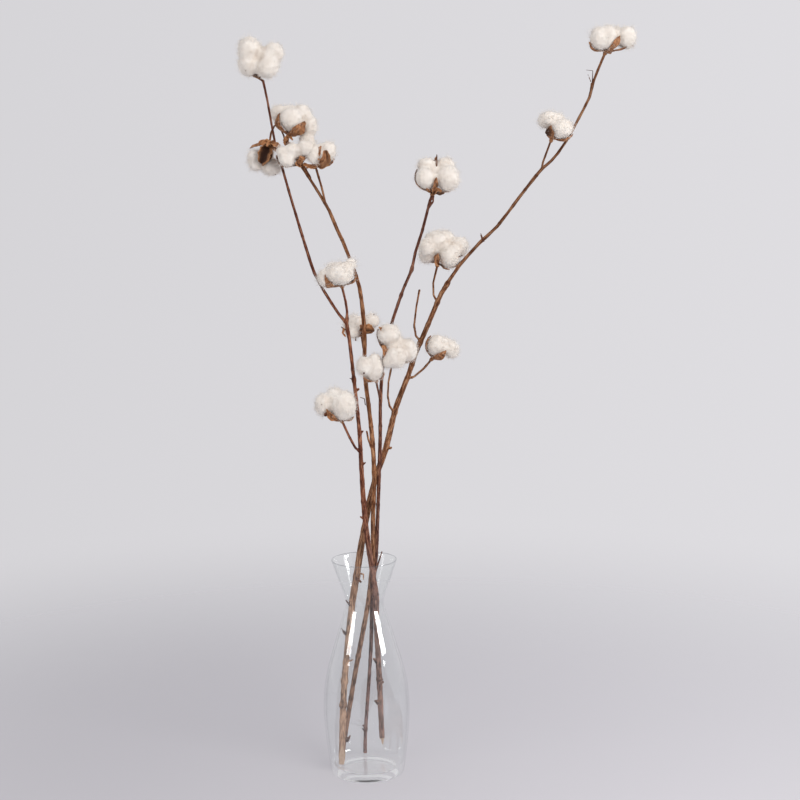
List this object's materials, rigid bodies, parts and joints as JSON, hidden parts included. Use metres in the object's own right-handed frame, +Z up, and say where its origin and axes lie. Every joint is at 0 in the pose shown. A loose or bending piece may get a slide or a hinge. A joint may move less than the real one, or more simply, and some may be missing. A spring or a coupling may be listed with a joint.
{
  "type": "cotton stem bunch in a glass vase",
  "caption": "Bunch of dried cotton stems with fluffy bolls, loosely standing in a clear glass carafe vase with a narrow neck and a flared mouth",
  "frame": {"origin": "centre of the vase's round foot, on the surface that it stands on", "axes": "+Z up along the vase and the stems, +X to the side that the longest stem leans to, -Y the front"},
  "size_m": [0.4668, 0.1147, 0.904],
  "materials": {
    "clear_glass": "clear blown glass, very smooth",
    "bark_grey_brown": "dry grey-brown bark",
    "bark_red_brown": "dry red-brown bark",
    "bark_tan": "dry tan bark",
    "bark_dark_red": "dry dark red bark",
    "dry_bur": "dry woody bur, matt",
    "cotton_lint": "fluffy raw cotton lint, matt"
  },
  "bodies": {
    "root": {"vase": "clear_glass", "stem_long": "bark_grey_brown", "stem_forked": "bark_red_brown", "stem_tall": "bark_tan", "stem_slender": "bark_dark_red", "bur_01": "dry_bur", "bur_02": "dry_bur", "bur_03": "dry_bur", "bur_04": "dry_bur", "bur_05": "dry_bur", "bur_06": "dry_bur", "bur_07": "dry_bur", "bur_08": "dry_bur", "bur_09": "dry_bur", "bur_10": "dry_bur", "bur_11": "dry_bur", "bur_12": "dry_bur", "bur_13": "dry_bur", "bur_14": "dry_bur", "bur_15": "dry_bur", "lint_01": "cotton_lint", "lint_02": "cotton_lint", "lint_03": "cotton_lint", "lint_04": "cotton_lint", "lint_05": "cotton_lint", "lint_06": "cotton_lint", "lint_07": "cotton_lint", "lint_08": "cotton_lint", "lint_09": "cotton_lint", "lint_10": "cotton_lint", "lint_11": "cotton_lint", "lint_12": "cotton_lint", "lint_13": "cotton_lint", "lint_14": "cotton_lint", "lint_15": "cotton_lint"}
  },
  "joints": []
}
